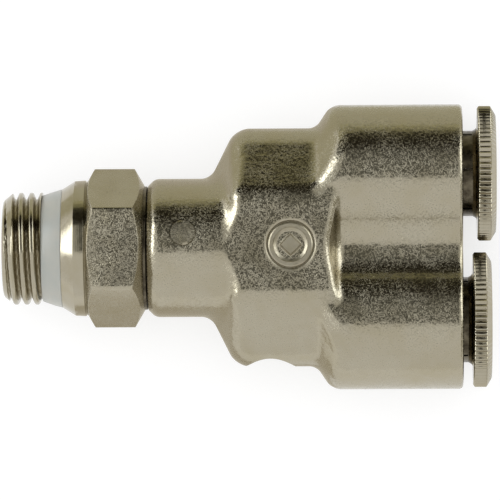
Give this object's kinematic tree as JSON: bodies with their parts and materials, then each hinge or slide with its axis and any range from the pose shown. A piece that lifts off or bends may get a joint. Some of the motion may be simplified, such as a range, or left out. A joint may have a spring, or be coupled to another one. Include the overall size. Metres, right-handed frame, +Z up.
{
  "type": "swivel male Y push-in tube fitting",
  "caption": "Nickel-plated brass swivel Y fitting: a male pipe thread with hexagon feeds parallel push-in ports for plastic tube, with knurled release collets.",
  "frame": {"origin": "on the thread and swivel axis, at the thread's inner end where the seal ring starts", "axes": "+X along the axis from the thread tip towards the tube ports, +Y from the lower port to the upper port, +Z up when it lies on its flat side"},
  "size_m": [0.0427, 0.0246, 0.012],
  "materials": {
    "nickel": "turned and nickel plated, satin to bright",
    "nickel_forged": "forged, tumbled and nickel plated, finely dented",
    "seal_white": "milky translucent fluoropolymer",
    "rubber": "smooth nitrile rubber",
    "spacer": "moulded natural acetal"
  },
  "bodies": {
    "stem": {"swivel_stem": "nickel", "thread_seal_ring": "seal_white", "swivel_o_ring": "rubber"},
    "housing": {"y_body": "nickel_forged", "cross_bore_plug": "nickel", "retaining_pin_front": "nickel", "retaining_pin_rear": "nickel", "tube_o_ring_upper": "rubber", "tube_o_ring_lower": "rubber", "seal_spacer_upper": "spacer", "seal_spacer_lower": "spacer", "cone_bush_upper": "nickel", "cone_bush_lower": "nickel"},
    "release_upper": {"collet_upper": "nickel"},
    "release_lower": {"collet_lower": "nickel"}
  },
  "joints": [
    {"name": "stem_swivel", "type": "hinge", "parent": "stem", "child": "housing", "pos_m": [0, 0, 0], "axis": [1, 0, 0], "continuous": true},
    {"name": "collet_upper_slide", "type": "slide", "parent": "housing", "child": "release_upper", "axis": [-1, 0, 0], "range_m": [0, 0.0012]},
    {"name": "collet_lower_slide", "type": "slide", "parent": "housing", "child": "release_lower", "axis": [-1, 0, 0], "range_m": [-0.00042, 0.00078]}
  ]
}
